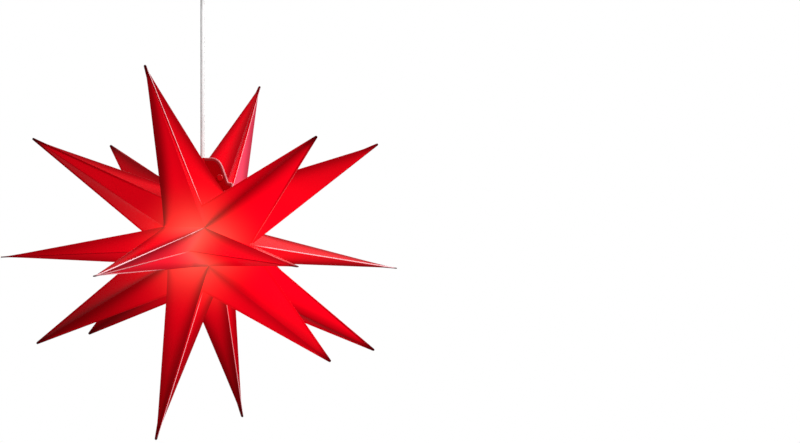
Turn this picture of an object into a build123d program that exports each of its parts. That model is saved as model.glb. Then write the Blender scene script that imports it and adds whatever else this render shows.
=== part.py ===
"""Folding star pendant: an eighteen-pointed lantern of red plastic sheet on a ceiling cord.

The shade is a stack of twelve creased leaves welded edge to edge, opened like an
accordion round a level axis and closed by two flaps that snap round the cord.  Two
leaves make a gore, and a gore carries three spikes: a middle one and one at each side.

Row frame: +Z up, origin on the ceiling in the middle of the two screw holes.
Star frame: origin in the star's middle, X along its pole-to-pole axis, Z towards the
closing seam.  A place there is (x, rho, azimuth): along the axis, out from the axis, and
round it from straight up over the front.  All lengths are in millimetres.
"""
from build123d import *
from math import atan2, cos, degrees, hypot, radians, sin, sqrt
import os

# ---- the star's place -------------------------------------------------------------------
DROP = 412.0                 # ceiling to the star's middle
TILT = 1.33                  # the star hangs this many degrees lower at +X

# ---- the star's folded shape ------------------------------------------------------------
MIDDLE_REACH = 285.0         # axis to the tip of a middle spike
SIDE_REACH = 277.0           # middle of the star to the tip of a side spike
SIDE_ANGLE = 53.1            # between a middle spike and the side spikes of its gore
SEAM_OPENING = 72.1          # degrees between the two gores that the flaps close
NEXT_OPENINGS = (62.1, 57.1, 52.7, 51.7)    # and on round, over the front: the last is what is left
EVEN_OPENING = 60.0          # six gores opened alike
SIDE_DRAW = 0.28             # degrees a side spike draws in per degree of wider opening
NOTCH_X = 16.8               # crest notch between a middle spike and a side spike
NOTCH_RADIUS = 66.0          # its distance from the axis where the gore opens evenly
NOTCH_DRAW = 0.57            # and how much nearer it is per degree of wider opening
VALLEY_X = 31.5              # corner of the valley between two gores
VALLEY_RADIUS = 54.4         # its distance from the axis at an even opening
VALLEY_RISE = 1.45           # and how much further out it goes per degree of opening
POLE_X = 72.3                # where all leaves meet on the axis

# ---- sheet, welds and flaps -------------------------------------------------------------
SHEET = 0.6                  # thickness of the leaves
WELD = 1.8                   # width of the welded fin along crests and valleys
WELD_BITE = 1.0              # how far a fin runs back into the walls that it joins
WELD_STOP = 5.0              # fins end this far from the axis, where six of them meet
FLAP_SHEET = 0.8             # the flaps are the sheet with its welded hem
FLAP_FOOT = 42.0             # half width of a flap at its foot
FLAP_HEAD = 23.6             # half width of a flap at its head, before the corners
FLAP_TOP = 118.0             # head of the flaps over the star's middle
FLAP_CORNER = 19.0
EAR = 45.0                   # half width over the welded ears at a flap's foot
EAR_TOP = 84.0
EAR_ROUND = 2.5
FLAP_GAP = 0.3               # between the two flaps
HINGE_GAP = 0.3              # between a flap's rolled foot and the leaf beside it
STUD_X = 26.0                # press studs, from the middle of the flaps
STUD_Z = 91.0
STUD_HEAD_R = 4.5
STUD_HEAD_T = 1.4
STUD_POST_R = 1.8
STUD_POST = 1.3              # length of the post beyond the middle of the gap between the flaps
STUD_FIT = 0.05              # round the rivets in the flaps
SOCKET_R = 4.0
SOCKET_BORE_R = 2.6
SOCKET_T = 1.8
SOCKET_FLOOR = 0.5
SLEEVE_START = 6.0           # the flaps' sleeve round the cord starts this far over their foot

# ---- cord -------------------------------------------------------------------------------
CORD_R = 2.85
CORD_PLAY = 0.3              # round the cord where a moving piece passes it
CORE_R = 0.9
CORE_SPREAD = 1.35           # cores beside each other inside the cord's sheath
BEND = 12.0                  # stretch of cord under the grip that bends when the lamp swings
CORE_BEND_R = 1.8
CORD_IN_CAP = 4.0            # sheath inside the lampholder's cap
SEAT_FIT = 0.05              # round what is pushed or screwed into its seat
SCREW_TOUCH = 0.02           # between a clamping screw and the cord

# ---- ceiling fitting --------------------------------------------------------------------
CANOPY_R = 50.0
CANOPY_H = 42.0
CANOPY_WALL = 2.0
CANOPY_DRAFT = 3.0           # the cup is narrower at the bottom by this much on the radius
CANOPY_FILLET = 6.0
TUBE_R = 4.95                # M10 x 1 threaded tube
TUBE_BORE_R = 4.0
TUBE_PLAY = 0.25             # in the holes that it passes
TUBE_ABOVE = 5.5             # tube standing above the bar
TUBE_IN_GRIP = 7.0
NUT_FLATS = 14.0
NUT_H = 4.0
BAR_LENGTH = 88.0
BAR_WIDTH = 16.0
BAR_T = 1.5
BAR_RISE = 16.0              # bridge of the bar below the ceiling
BAR_SPAN = 48.0              # length of the bridge
SCREW_SPACING = 70.0
SCREW_HOLE_R = 2.5
TAB_LENGTH = 20.0            # tab beside the bridge that carries the terminal block
TAB_MARGIN = 2.0             # tab round the block
GRIP_R = 7.0
GRIP_MOUTH_R = 5.2
GRIP_H = 18.0
GRIP_BORE_R = 3.2
GRIP_STRAIGHT = 8.0          # straight part of the grip, over its taper
GRIP_ROUND = 1.0
GRIP_SCREW_R = 1.9
GRIP_SCREW_UP = 5.5          # over the mouth of the grip
GRIP_SCREW_HEAD = 1.6
GRIP_SCREW_HEAD_R = 3.0
GRIP_SCREW_OUT = 0.6         # head off the grip's side
SLOT_W = 0.7                 # screwdriver slots
SLOT_DEEP = 0.8
MOUTH_PLAY = 0.4             # the first bend of the cord lies this far under the mouth
BLOCK = (20.0, 14.0, 12.5)   # two-way terminal block
BLOCK_ROUND = 1.5
BLOCK_BORE_R = 2.0
BLOCK_BORE_UP = 4.25         # bores over the foot of the block
BLOCK_SCREW_DEEP = 1.5       # heads of the screws under the block's top
BLOCK_SCREW_R = 1.7
POLE_PITCH = 9.0

# ---- lampholder, E14 --------------------------------------------------------------------
CLAMP_R = 6.0
CLAMP_H = 9.0
CLAMP_PLAY = 0.45            # between the clamp and the leaves of the seam, which rest on it
CLAMP_CHAMFER = 1.2
CLAMP_SCREW_R = 1.5
CAP_R = 14.0
CAP_H = 13.0
CAP_SHOULDER = 9.0           # radius at the top of the cap
CAP_SLOPE = 5.0              # height of its sloping shoulder
CAP_ROUND = 1.5
SKIRT_H = 30.0
SKIRT_WALL = 1.8
SHELL_R = 7.35               # inside of the brass screw shell
SHELL_WALL = 0.4
SHELL_H = 19.0
CARRIER_T = 4.0
CONTACT_R = 3.0
CONTACT_T = 1.5
CONTACT_TOUCH = 0.1          # between the holder's contact and the lamp's
SHELL_INSULATION = 1.5       # between the centre contact and the shell's flange
FLUTES = 24                  # finger grips round the skirt
FLUTE_R = 1.0
FLUTE_OUT = 0.6              # axis of a flute outside the skirt
FLUTE_UP = 2.0
FLUTE_H = 14.0

# ---- lamp -------------------------------------------------------------------------------
GLOBE_R = 22.5
GLOBE_WALL = 1.2
LAMP_LENGTH = 79.0           # contact to the bottom of the globe
BASE_R = 7.1
BASE_H = 18.0
BASE_WALL = 0.35
EYELET_R = 3.2
EYELET_H = 2.2
EYELET_SKIRT = 2.0           # insulation inside the screw cap
HOUSING_TOP_R = 9.0
HOUSING_COLLAR_R = 11.0
HOUSING_COLLAR_H = 3.0
HOUSING_MOUTH_R = 19.5       # where the housing takes the globe

# ---- worked out from the sizes above ----------------------------------------------------
LAST_OPENING = 360 - SEAM_OPENING - sum(NEXT_OPENINGS)
OPENINGS = (SEAM_OPENING,) + NEXT_OPENINGS + (LAST_OPENING,)
SEAM_RADIUS = VALLEY_RADIUS + VALLEY_RISE * (SEAM_OPENING - EVEN_OPENING)
SEAM_Y = (MIDDLE_REACH - WELD) * sin(radians(SEAM_OPENING / 2))
SEAM_Z = (MIDDLE_REACH - WELD) * cos(radians(SEAM_OPENING / 2)) - SEAM_RADIUS
LEAF_RISE = atan2(SEAM_Y, SEAM_Z)             # between the seam plane and a leaf beside it
GRIP_MOUTH_Z = -CANOPY_H - GRIP_H
SWING_Z = GRIP_MOUTH_Z - MOUTH_PLAY           # the cord's first bend, at the mouth
SWING_LOW_Z = SWING_Z - BEND                  # and its second one, the other way
STAR_PLACE = Location((0, 0, -DROP)) * Rotation(0, TILT, 0)
CLAMP_TOP_Z = -DROP + SEAM_RADIUS - SHEET / sin(LEAF_RISE) - CLAMP_PLAY
CAP_TOP_Z = CLAMP_TOP_Z - CLAMP_H
SKIRT_TOP_Z = CAP_TOP_Z - CAP_H
CONTACT_Z = SKIRT_TOP_Z - CARRIER_T - CONTACT_T
EYELET_TOP_Z = CONTACT_Z - CONTACT_TOUCH
BASE_TOP_Z = EYELET_TOP_Z - EYELET_H
BASE_LOW_Z = BASE_TOP_Z - BASE_H
GLOBE_Z = EYELET_TOP_Z - LAMP_LENGTH + GLOBE_R
HOUSING_LOW_Z = GLOBE_Z + sqrt(GLOBE_R ** 2 - HOUSING_MOUTH_R ** 2)
CORD_TOP_Z = -BAR_RISE + TUBE_ABOVE - CORE_R  # end of the sheath, inside the tube
BLOCK_Y = BAR_WIDTH / 2 + TAB_MARGIN + BLOCK[1] / 2
BLOCK_BORE_Z = -BAR_RISE + BLOCK_BORE_UP
BLOCK_TOP_Z = -BAR_RISE + BLOCK[2]
SLEEVE_R = CORD_R + CORD_PLAY + FLAP_SHEET
FAR = 4 * MIDDLE_REACH                        # longer than anything that is cut


def save(name, shape):
    """Write one node's STEP file."""
    export_step(shape, os.path.join("parts", name + ".step"))


def rod(radius, low_z, high_z):
    """A round rod on the vertical axis."""
    return Pos(0, 0, (low_z + high_z) / 2) * Cylinder(radius, high_z - low_z)


def ring(outer_r, inner_r, low_z, high_z):
    """A tube round the vertical axis."""
    return rod(outer_r, low_z, high_z) - rod(inner_r, low_z - outer_r, high_z + outer_r)


def pin(radius, start, end, direction):
    """A round pin from start to end, both places, along a unit direction."""
    length = (Vector(*end) - Vector(*start)).length
    return Solid.make_cylinder(radius, length, Plane(origin=start, z_dir=direction))


def turned(points):
    """A solid turned round the vertical axis from (radius, z) corners."""
    wire = Wire.make_polygon([Vector(r, 0, z) for r, z in points])
    return revolve(Face(wire), Axis.Z)


# ---- the folded star --------------------------------------------------------------------
def gore_azimuths():
    """Azimuth of each gore's mid-plane, with the seam straight up between last and first."""
    azimuths = [OPENINGS[0] / 2]
    for opening in OPENINGS[1:]:
        azimuths.append(azimuths[-1] + opening)
    return azimuths


def star_point(x, rho, azimuth):
    """A place in the star frame, from its (x, rho, azimuth in degrees)."""
    return Vector(x, -rho * sin(radians(azimuth)), rho * cos(radians(azimuth)))


def wider_opening(gore):
    """Degrees that a gore opens wider than evenly, from the valleys on its two sides."""
    return (OPENINGS[gore] + OPENINGS[(gore + 1) % 6]) / 2 - EVEN_OPENING


def side_tip(gore):
    """(x, rho) of a side spike's tip: the wider its gore opens, the more it draws in."""
    angle = radians(SIDE_ANGLE - SIDE_DRAW * wider_opening(gore))
    reach = SIDE_REACH - WELD
    return reach * sin(angle), reach * cos(angle)


def crest_line(gore):
    """(x, rho) of a gore's crest: pole, side tip, notch, middle tip, and back down."""
    notch = (NOTCH_X, NOTCH_RADIUS - NOTCH_DRAW * wider_opening(gore))
    half = [(POLE_X, 0), side_tip(gore), notch]
    left = [(-x, rho) for x, rho in half]
    return left + [(0, MIDDLE_REACH - WELD)] + half[::-1]


def valley_line(valley):
    """(x, rho) of the valley after gore number valley - 1: pole, corner, corner, pole."""
    rho = VALLEY_RADIUS + VALLEY_RISE * (OPENINGS[valley] - EVEN_OPENING)
    return [(-POLE_X, 0), (-VALLEY_X, rho), (VALLEY_X, rho), (POLE_X, 0)]


def polygon(points):
    """A flat face on the given corners."""
    return Face(Wire.make_polygon(points))


def normal_of(triangle):
    """Unit normal of a triangle, turned away from the star's middle."""
    a, b, c = triangle
    n = (b - a).cross(c - a).normalized()
    return n if n.dot(a + b + c) > 0 else n * -1


def inner_corner(corner, normals, along, across):
    """The corner moved inside so that it lies SHEET deep under each face that meets there.

    The move is a * along + b * across, both unit directions of the plane that the rim
    keeps to, and a and b are the least-squares answer.  A pole keeps to the axis.
    """
    if across is None:
        rise = sum(n.dot(along) for n in normals) / len(normals)
        return corner + along * (-SHEET / rise)
    aa = sum(n.dot(along) ** 2 for n in normals)
    ab = sum(n.dot(along) * n.dot(across) for n in normals)
    bb = sum(n.dot(across) ** 2 for n in normals)
    ra = -SHEET * sum(n.dot(along) for n in normals)
    rb = -SHEET * sum(n.dot(across) for n in normals)
    det = aa * bb - ab * ab
    return corner + along * ((ra * bb - rb * ab) / det) + across * ((rb * aa - ra * ab) / det)


def leaf_wall(crest, crest_azimuth, valley, valley_azimuth):
    """The seven creased panels of a leaf, as one closed wall of sheet."""
    c = [star_point(x, rho, crest_azimuth) for x, rho in crest]
    v = [star_point(x, rho, valley_azimuth) for x, rho in valley]
    outer = {"c" + str(i): p for i, p in enumerate(c)}
    outer.update({"v1": v[1], "v2": v[2]})
    panels = [("c0", "c1", "v1"), ("c1", "c2", "v1"), ("c2", "c3", "v1"), ("c3", "v1", "v2"),
              ("c3", "c4", "v2"), ("c4", "c5", "v2"), ("c5", "c6", "v2")]
    normals = {panel: normal_of([outer[k] for k in panel]) for panel in panels}
    axis = Vector(1, 0, 0)
    inner = {}
    for key, corner in outer.items():
        met = [normals[panel] for panel in panels if key in panel]
        azimuth = valley_azimuth if key[0] == "v" else crest_azimuth
        across = None if key in ("c0", "c6") else star_point(0, 1, azimuth)
        inner[key] = inner_corner(corner, met, axis, across)
    faces = []
    for panel in panels:
        faces.append(polygon([outer[k] for k in panel]))
        faces.append(polygon([inner[k] for k in panel]))
    for rim in (["c" + str(i) for i in range(7)], ["c0", "v1", "v2", "c6"]):
        for a, b in zip(rim, rim[1:]):
            faces.append(polygon([outer[a], outer[b], inner[b], inner[a]]))
    wall = Solid(Shell(faces))
    return wall if wall.volume > 0 else Solid(Shell([-face for face in faces]))


def radial_plane(azimuth):
    """The plane through the axis at an azimuth: its x is the axis, its y leads outward."""
    outward = star_point(0, 1, azimuth)
    return Plane(origin=(0, 0, 0), x_dir=(1, 0, 0), z_dir=Vector(1, 0, 0).cross(outward))


def beyond_poles(face):
    """Only what lies outside the ring where the welds of all gores would meet."""
    return face & Pos(0, WELD_STOP + FAR / 2) * Rectangle(FAR, FAR)


def inset(points, depth):
    """The corners of a flat outline moved inside by depth, with sharp mitres."""
    turn = sum(a[0] * b[1] - b[0] * a[1] for a, b in zip(points, points[1:] + points[:1]))
    hand = 1 if turn > 0 else -1
    moved = []
    for before, here, after in zip(points[-1:] + points[:-1], points, points[1:] + points[:1]):
        ax, ay = here[0] - before[0], here[1] - before[1]
        bx, by = after[0] - here[0], after[1] - here[1]
        a_long, b_long = hypot(ax, ay), hypot(bx, by)
        nx = hand * (-ay / a_long - by / b_long)
        ny = hand * (ax / a_long + bx / b_long)
        mitre = depth * 2 / (nx * nx + ny * ny)
        moved.append((here[0] + nx * mitre, here[1] + ny * mitre))
    return moved


def weld_fin(line, azimuth, toward, outward):
    """The flat fin that welds a leaf to its neighbour, along one crest or valley.

    It lies on the radial plane at the azimuth and is SHEET thick towards the leaf.
    A crest's fin stands outward with rounded tips, and a valley's points inside.
    """
    region = make_face(Polyline(*line, close=True))
    if outward:
        strip = offset(region, WELD, kind=Kind.ARC) - make_face(Polyline(*inset(line, WELD_BITE), close=True))
    else:
        strip = region - make_face(Polyline(*inset(line, WELD_BITE + WELD), close=True))
    strip = beyond_poles(strip)
    plane = radial_plane(azimuth)
    side = 1 if plane.z_dir.dot(toward) > 0 else -1
    return extrude(plane * strip, amount=SHEET, dir=plane.z_dir * side)


def leaf(number):
    """Leaf 1 to 12, from the seam over the front and round: half a gore each."""
    gore = (number - 1) // 2
    first_half = number % 2 == 1
    azimuths = gore_azimuths()
    crest_azimuth = azimuths[gore]
    valley_number = gore if first_half else (gore + 1) % 6
    turn = OPENINGS[valley_number] / 2
    valley_azimuth = crest_azimuth - turn if first_half else crest_azimuth + turn
    crest = crest_line(gore)
    valley = valley_line(valley_number)
    body = leaf_wall(crest, crest_azimuth, valley, valley_azimuth)
    toward = star_point(0, 1, valley_azimuth) - star_point(0, 1, crest_azimuth)
    body += weld_fin(crest, crest_azimuth, toward, True)
    if valley_number != 0:
        body += weld_fin(valley, valley_azimuth, toward * -1, False)
    body = STAR_PLACE * body
    if valley_number == 0:
        body -= rod(SLEEVE_R + CORD_PLAY, -DROP, 0)
    return body


# ---- closing flaps ----------------------------------------------------------------------
def hinge_line():
    """(y, z) of the front flap's hinge, its rolled foot HINGE_GAP off the leaf."""
    y = -(FLAP_GAP + FLAP_SHEET) / 2
    foot_r = FLAP_SHEET / 2
    z = SEAM_RADIUS + (foot_r + HINGE_GAP - y * cos(LEAF_RISE)) / sin(LEAF_RISE)
    return y, z


def flap(front):
    """One of the two flaps that snap together round the cord, standing on the seam."""
    y, foot_z = hinge_line()
    outline = make_face(Polyline((-FLAP_FOOT, foot_z), (FLAP_FOOT, foot_z),
                                 (FLAP_HEAD, FLAP_TOP), (-FLAP_HEAD, FLAP_TOP), close=True))
    outline = fillet(outline.vertices().sort_by(Axis.Y)[-2:], FLAP_CORNER)
    ears = Pos(0, (foot_z + EAR_TOP) / 2) * RectangleRounded(2 * EAR, EAR_TOP - foot_z, EAR_ROUND)
    outline = (outline + ears).face()
    upright = Plane(origin=(0, y + FLAP_SHEET / 2, 0), x_dir=(1, 0, 0), z_dir=(0, -1, 0))
    body = extrude(upright * outline, amount=FLAP_SHEET)
    body += pin(FLAP_SHEET / 2, (-VALLEY_X, y, foot_z), (VALLEY_X, y, foot_z), (1, 0, 0))
    hole_r = STUD_POST_R + STUD_FIT if front else SOCKET_BORE_R + STUD_FIT
    for x in (-STUD_X, STUD_X):
        body -= pin(hole_r, (x, -FLAP_TOP, STUD_Z), (x, FLAP_TOP, STUD_Z), (0, 1, 0))
    body = STAR_PLACE * (body if front else mirror(body, Plane.XZ))
    side = -1 if front else 1
    own_half = Pos(0, side * (FLAP_GAP + FAR) / 2, -DROP) * Box(FAR, FAR, FAR)
    body += rod(SLEEVE_R, -DROP + foot_z + SLEEVE_START, -DROP + FLAP_TOP) & own_half
    return body - rod(CORD_R + CORD_PLAY, -DROP, 0)


def flap_front():
    """The flap on the side of leaf 1."""
    return flap(True)


def flap_back():
    """The flap on the side of leaf 12."""
    return flap(False)


def stud_caps():
    """The two press-stud halves riveted to the front flap."""
    outer_y = -FLAP_GAP / 2 - FLAP_SHEET
    caps = []
    for x in (-STUD_X, STUD_X):
        head = pin(STUD_HEAD_R, (x, outer_y, STUD_Z), (x, outer_y - STUD_HEAD_T, STUD_Z), (0, -1, 0))
        head = fillet(head.edges().filter_by(GeomType.CIRCLE).sort_by(Axis.Y)[0], STUD_HEAD_T / 2)
        post = pin(STUD_POST_R, (x, outer_y, STUD_Z), (x, STUD_POST, STUD_Z), (0, 1, 0))
        caps.append(STAR_PLACE * (head + post))
    return Compound(children=caps)


def stud_sockets():
    """The two press-stud halves riveted to the back flap, open towards the posts."""
    y = FLAP_GAP / 2 + FLAP_SHEET
    sockets = []
    for x in (-STUD_X, STUD_X):
        disc = pin(SOCKET_R, (x, y, STUD_Z), (x, y + SOCKET_T, STUD_Z), (0, 1, 0))
        bore = pin(SOCKET_BORE_R, (x, 0, STUD_Z), (x, y + SOCKET_T - SOCKET_FLOOR, STUD_Z), (0, 1, 0))
        sockets.append(STAR_PLACE * (disc - bore))
    return Compound(children=sockets)


# ---- ceiling fitting --------------------------------------------------------------------
def ceiling_bar():
    """Bent steel bar: two feet on the ceiling, a bridge for the tube and a side tab."""
    foot = (BAR_LENGTH - BAR_SPAN) / 2
    bridge_z = -BAR_RISE - BAR_T / 2
    tab_y = BAR_WIDTH / 2 + TAB_LENGTH / 2
    bar = Pos(0, 0, bridge_z) * Box(BAR_SPAN, BAR_WIDTH, BAR_T)
    bar += Pos(0, tab_y - BAR_T, bridge_z) * Box(BLOCK[0] + 2 * TAB_MARGIN, TAB_LENGTH + 2 * BAR_T, BAR_T)
    for side in (-1, 1):
        bar += Pos(side * (BAR_SPAN + foot) / 2, 0, -BAR_T / 2) * Box(foot, BAR_WIDTH, BAR_T)
        leg = Pos(side * (BAR_SPAN - BAR_T) / 2, 0, -(BAR_RISE + BAR_T) / 2)
        bar += leg * Box(BAR_T, BAR_WIDTH, BAR_RISE + BAR_T)
    for x in (-SCREW_SPACING / 2, SCREW_SPACING / 2):
        bar -= Pos(x, 0, 0) * rod(SCREW_HOLE_R, -BAR_RISE, BAR_RISE)
    return bar - rod(TUBE_R + TUBE_PLAY, -CANOPY_H, 0)


def drafted_cup(top_r, depth, rounding):
    """A round block down from the ceiling, drafted and rounded at the bottom."""
    down = Plane(origin=(0, 0, 0), z_dir=(0, 0, -1))
    block = Solid.make_cone(top_r, top_r - CANOPY_DRAFT, depth, down)
    return fillet(block.edges().filter_by(GeomType.CIRCLE).sort_by(Axis.Z)[0], rounding)


def canopy_cup():
    """White cup that covers the bar."""
    inside = drafted_cup(CANOPY_R - CANOPY_WALL, CANOPY_H - CANOPY_WALL, CANOPY_FILLET - CANOPY_WALL)
    cup = drafted_cup(CANOPY_R, CANOPY_H, CANOPY_FILLET) - inside
    return cup - rod(TUBE_R + TUBE_PLAY, -2 * CANOPY_H, 0)


def hex_nut(top_z):
    """A thin nut on the tube, its upper face at top_z."""
    nut = Pos(0, 0, top_z - NUT_H) * extrude(RegularPolygon(NUT_FLATS / 2, 6, major_radius=False), NUT_H)
    return nut - rod(TUBE_R + SEAT_FIT, -CANOPY_H, 0)


def lock_nuts():
    """The nuts above and below the bar's bridge."""
    return Compound(children=[hex_nut(-BAR_RISE + NUT_H), hex_nut(-BAR_RISE - BAR_T)])


def threaded_tube():
    """The tube that hangs the cup and the grip on the bar."""
    return ring(TUBE_R, TUBE_BORE_R, -CANOPY_H - TUBE_IN_GRIP, -BAR_RISE + TUBE_ABOVE)


def cord_grip():
    """Plastic grip screwed on the tube, tapering to its mouth."""
    low, high = GRIP_MOUTH_Z, -CANOPY_H
    body = turned([(0, high), (GRIP_R, high), (GRIP_R, high - GRIP_STRAIGHT), (GRIP_MOUTH_R, low), (0, low)])
    body = fillet(body.edges().filter_by(GeomType.CIRCLE).sort_by(Axis.Z)[0], GRIP_ROUND)
    body -= rod(TUBE_R + SEAT_FIT, high - TUBE_IN_GRIP, 0)
    body -= rod(GRIP_BORE_R, low - GRIP_R, 0)
    screw_z = low + GRIP_SCREW_UP
    return body - pin(GRIP_SCREW_R + SEAT_FIT, (0, 0, screw_z), (2 * GRIP_R, 0, screw_z), (1, 0, 0))


def grip_screw():
    """Plastic screw that presses on the cord from the side."""
    z = GRIP_MOUTH_Z + GRIP_SCREW_UP
    neck = GRIP_R + GRIP_SCREW_OUT
    end = neck + GRIP_SCREW_HEAD
    body = pin(GRIP_SCREW_R, (CORD_R + SCREW_TOUCH, 0, z), (neck, 0, z), (1, 0, 0))
    body += pin(GRIP_SCREW_HEAD_R, (neck, 0, z), (end, 0, z), (1, 0, 0))
    return body - Pos(end, 0, z) * Box(2 * SLOT_DEEP, SLOT_W, 3 * GRIP_SCREW_HEAD_R)


def terminal_block():
    """Two-way block with a wire bore along Y and a screw well from above for each pole."""
    block = Pos(0, BLOCK_Y, -BAR_RISE + BLOCK[2] / 2) * Box(*BLOCK)
    block = fillet(block.edges().filter_by(Axis.Z), BLOCK_ROUND)
    for x in (-POLE_PITCH / 2, POLE_PITCH / 2):
        block -= pin(BLOCK_BORE_R, (x, 0, BLOCK_BORE_Z), (x, 2 * BLOCK_Y, BLOCK_BORE_Z), (0, 1, 0))
        block -= Pos(x, BLOCK_Y, 0) * rod(BLOCK_SCREW_R + SEAT_FIT, BLOCK_BORE_Z, 0)
    return block


def terminal_screws():
    """The two clamping screws of the block."""
    low = BLOCK_BORE_Z + CORE_R + SCREW_TOUCH
    high = BLOCK_TOP_Z - BLOCK_SCREW_DEEP
    slot = Pos(0, 0, high) * Box(4 * BLOCK_SCREW_R, SLOT_W, 2 * SLOT_DEEP)
    screw = rod(BLOCK_SCREW_R, low, high) - slot
    return Compound(children=[Pos(x, BLOCK_Y, 0) * screw for x in (-POLE_PITCH / 2, POLE_PITCH / 2)])


# ---- cord -------------------------------------------------------------------------------
def core(points):
    """An insulated core: a tube along straight runs with round bends."""
    path = FilletPolyline(*points, radius=CORE_BEND_R)
    return sweep(Plane(origin=path @ 0, z_dir=path % 0) * Circle(CORE_R), path)


def cord_upper():
    """The sheathed cord inside grip and tube."""
    return rod(CORD_R, SWING_Z + CORD_R + CORD_PLAY, CORD_TOP_Z)


def upper_cores():
    """The two cores from the cord's end over the tube and down into the block."""
    over_z = (CORD_TOP_Z - CORE_R) / 2
    down_y = (TUBE_R + BLOCK_Y - BLOCK[1] / 2) / 2
    wires = []
    for side in (-1, 1):
        pole_x = side * POLE_PITCH / 2
        wires.append(core([(side * CORE_SPREAD, 0, CORD_TOP_Z), (side * CORE_SPREAD, 0, over_z),
                           (pole_x, down_y, over_z), (pole_x, down_y, BLOCK_BORE_Z),
                           (pole_x, BLOCK_Y + BLOCK_SCREW_R, BLOCK_BORE_Z)]))
    return Compound(children=wires)


def cord_with_ball(low_z, pivot_z):
    """A stretch of cord whose upper end is a ball round its bend."""
    return rod(CORD_R, low_z, pivot_z) + Pos(0, 0, pivot_z) * Sphere(CORD_R)


def cord_bend():
    """The short stretch under the grip that bends sideways."""
    return cord_with_ball(SWING_LOW_Z + CORD_R + CORD_PLAY, SWING_Z)


def cord():
    """The hanging cord, down into the cap of the lampholder."""
    return cord_with_ball(CAP_TOP_Z - CORD_IN_CAP, SWING_LOW_Z)


# ---- lampholder -------------------------------------------------------------------------
def cord_clamp():
    """Clamp on top of the lampholder, which also stops the star from sliding down."""
    body = turned([(0, CLAMP_TOP_Z), (CLAMP_R - CLAMP_CHAMFER, CLAMP_TOP_Z),
                   (CLAMP_R, CLAMP_TOP_Z - CLAMP_CHAMFER), (CLAMP_R, CAP_TOP_Z), (0, CAP_TOP_Z)])
    body -= rod(CORD_R + SEAT_FIT, CAP_TOP_Z - CLAMP_H, 0)
    screw_z = CAP_TOP_Z + CLAMP_H / 2
    return body - pin(CLAMP_SCREW_R + SEAT_FIT, (0, 0, screw_z), (2 * CLAMP_R, 0, screw_z), (1, 0, 0))


def clamp_screw():
    """The clamp's screw, flush with its side."""
    z = CAP_TOP_Z + CLAMP_H / 2
    return pin(CLAMP_SCREW_R, (CORD_R + SCREW_TOUCH, 0, z), (CLAMP_R, 0, z), (1, 0, 0))


def cap_outline(shrink):
    """(radius, z) corners of the cap, moved inside by shrink."""
    top = CAP_TOP_Z - shrink
    return [(0, top), (CAP_SHOULDER - shrink / 2, top), (CAP_R - shrink, CAP_TOP_Z - CAP_SLOPE - shrink / 4),
            (CAP_R - shrink, SKIRT_TOP_Z), (0, SKIRT_TOP_Z)]


def holder_cap():
    """Domed cap of the lampholder, hollow for the cores."""
    body = turned(cap_outline(0))
    body = fillet(body.edges().filter_by(GeomType.CIRCLE).sort_by(Axis.Z)[-2:], CAP_ROUND)
    return body - turned(cap_outline(SKIRT_WALL)) - rod(CORD_R + SEAT_FIT, SKIRT_TOP_Z, 0)


def holder_skirt():
    """Straight skirt of the lampholder with its grip flutes."""
    low = SKIRT_TOP_Z - SKIRT_H
    body = ring(CAP_R, CAP_R - SKIRT_WALL, low, SKIRT_TOP_Z)
    flute = rod(FLUTE_R, low + FLUTE_UP, low + FLUTE_UP + FLUTE_H)
    return body - [place * flute for place in PolarLocations(CAP_R + FLUTE_OUT, FLUTES)]


def contact_carrier():
    """Insulating disc that carries shell and contact under the cap."""
    return rod(CAP_R - SKIRT_WALL, SKIRT_TOP_Z - CARRIER_T, SKIRT_TOP_Z)


def screw_shell():
    """Brass shell that the lamp screws into, hung from the carrier by its flange."""
    top = SKIRT_TOP_Z - CARRIER_T
    outer = SHELL_R + SHELL_WALL
    body = ring(outer, SHELL_R, top - SHELL_H, top)
    return body + ring(outer, CONTACT_R + SHELL_INSULATION, top - SHELL_WALL, top)


def centre_contact():
    """Brass button in the middle of the holder."""
    return rod(CONTACT_R, CONTACT_Z, SKIRT_TOP_Z - CARRIER_T)


def holder_cores():
    """The two cores from the cord's end straight down to the carrier's terminals."""
    wires = []
    for x in (-CORE_SPREAD, CORE_SPREAD):
        wires.append(Pos(x, 0, 0) * rod(CORE_R, SKIRT_TOP_Z, CAP_TOP_Z - CORD_IN_CAP))
    return Compound(children=wires)


# ---- lamp -------------------------------------------------------------------------------
def lamp_globe():
    """Frosted globe, open at the top where the housing takes it."""
    ball = Pos(0, 0, GLOBE_Z) * (Sphere(GLOBE_R) - Sphere(GLOBE_R - GLOBE_WALL))
    return ball & rod(2 * GLOBE_R, GLOBE_Z - 2 * GLOBE_R, HOUSING_LOW_Z)


def lamp_housing():
    """White plastic cone between the globe and the screw cap."""
    return turned([(0, BASE_LOW_Z), (HOUSING_TOP_R, BASE_LOW_Z),
                   (HOUSING_COLLAR_R, BASE_LOW_Z - HOUSING_COLLAR_H), (HOUSING_MOUTH_R, HOUSING_LOW_Z),
                   (0, HOUSING_LOW_Z)])


def lamp_base():
    """Metal screw cap of the lamp."""
    return ring(BASE_R, BASE_R - BASE_WALL, BASE_LOW_Z, BASE_TOP_Z)


def lamp_eyelet():
    """Insulating end of the screw cap with its contact button."""
    inner_r = BASE_R - BASE_WALL
    return turned([(0, EYELET_TOP_Z), (EYELET_R, EYELET_TOP_Z), (inner_r, BASE_TOP_Z),
                   (inner_r, BASE_TOP_Z - EYELET_SKIRT), (0, BASE_TOP_Z - EYELET_SKIRT)])


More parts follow.
